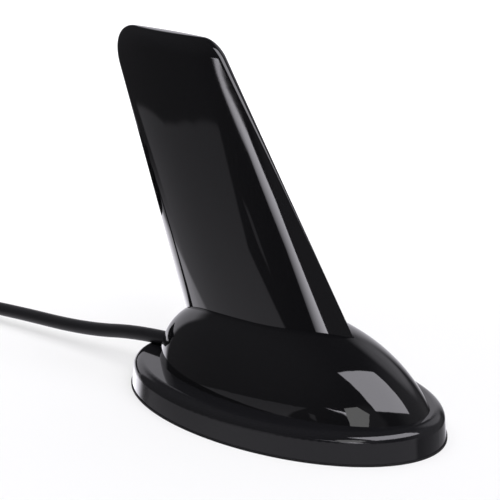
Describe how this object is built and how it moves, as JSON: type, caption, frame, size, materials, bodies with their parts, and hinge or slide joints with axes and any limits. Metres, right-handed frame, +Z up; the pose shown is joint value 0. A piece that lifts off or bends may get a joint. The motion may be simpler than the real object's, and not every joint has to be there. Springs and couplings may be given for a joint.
{
  "type": "dual-band mobile antenna",
  "caption": "Stick-on vehicle antenna: a swept lens-shaped fin on a half-egg housing and an oval foot, with a coaxial lead that ends in a small screw-on plug.",
  "frame": {"origin": "middle of the adhesive pad's underside, on the surface the antenna is stuck to", "axes": "+X from the lead's end to the nose, +Y to the left when looking forward, +Z up, away from the surface"},
  "size_m": [0.3158, 0.099, 0.1192],
  "materials": {
    "fin_gloss": "polished black moulding",
    "dome_gloss": "polished black moulding",
    "foot_satin": "black moulding, polished above and satin on the wall",
    "foam": "closed-cell foam tape",
    "steel": "zinc plated",
    "screw_steel": "zinc plated",
    "clamp_metal": "nickel plated",
    "board": "glass-fibre board",
    "chip": "ceramic",
    "copper": "bare copper",
    "tinned_copper": "tinned braid",
    "white_insulation": "plain",
    "jacket": "soft matt jacket",
    "tie_plastic": "plain",
    "plug_metal": "nickel plated",
    "gold_pin": "gold plated"
  },
  "bodies": {
    "root": {"fin_shell": "fin_gloss", "dome_shell": "dome_gloss", "base_plate": "foot_satin", "adhesive_pad": "foam", "ground_plate": "steel", "base_screws": "screw_steel", "board_screws": "screw_steel", "clamp_screws": "screw_steel", "cable_clamp": "clamp_metal", "feed_board": "board", "radiator_board": "board", "chip_parts": "chip", "matching_coil": "copper", "long_element": "copper", "short_element": "copper", "coax_braid": "tinned_copper", "coax_dielectric": "white_insulation", "coax_conductor": "copper", "coax_cable": "jacket", "coax_coil": "jacket", "coil_ties": "tie_plastic", "plug_ferrule": "plug_metal", "plug_body": "plug_metal", "coupling_nut": "plug_metal", "plug_insulator": "white_insulation", "plug_pin": "gold_pin"}
  },
  "joints": []
}
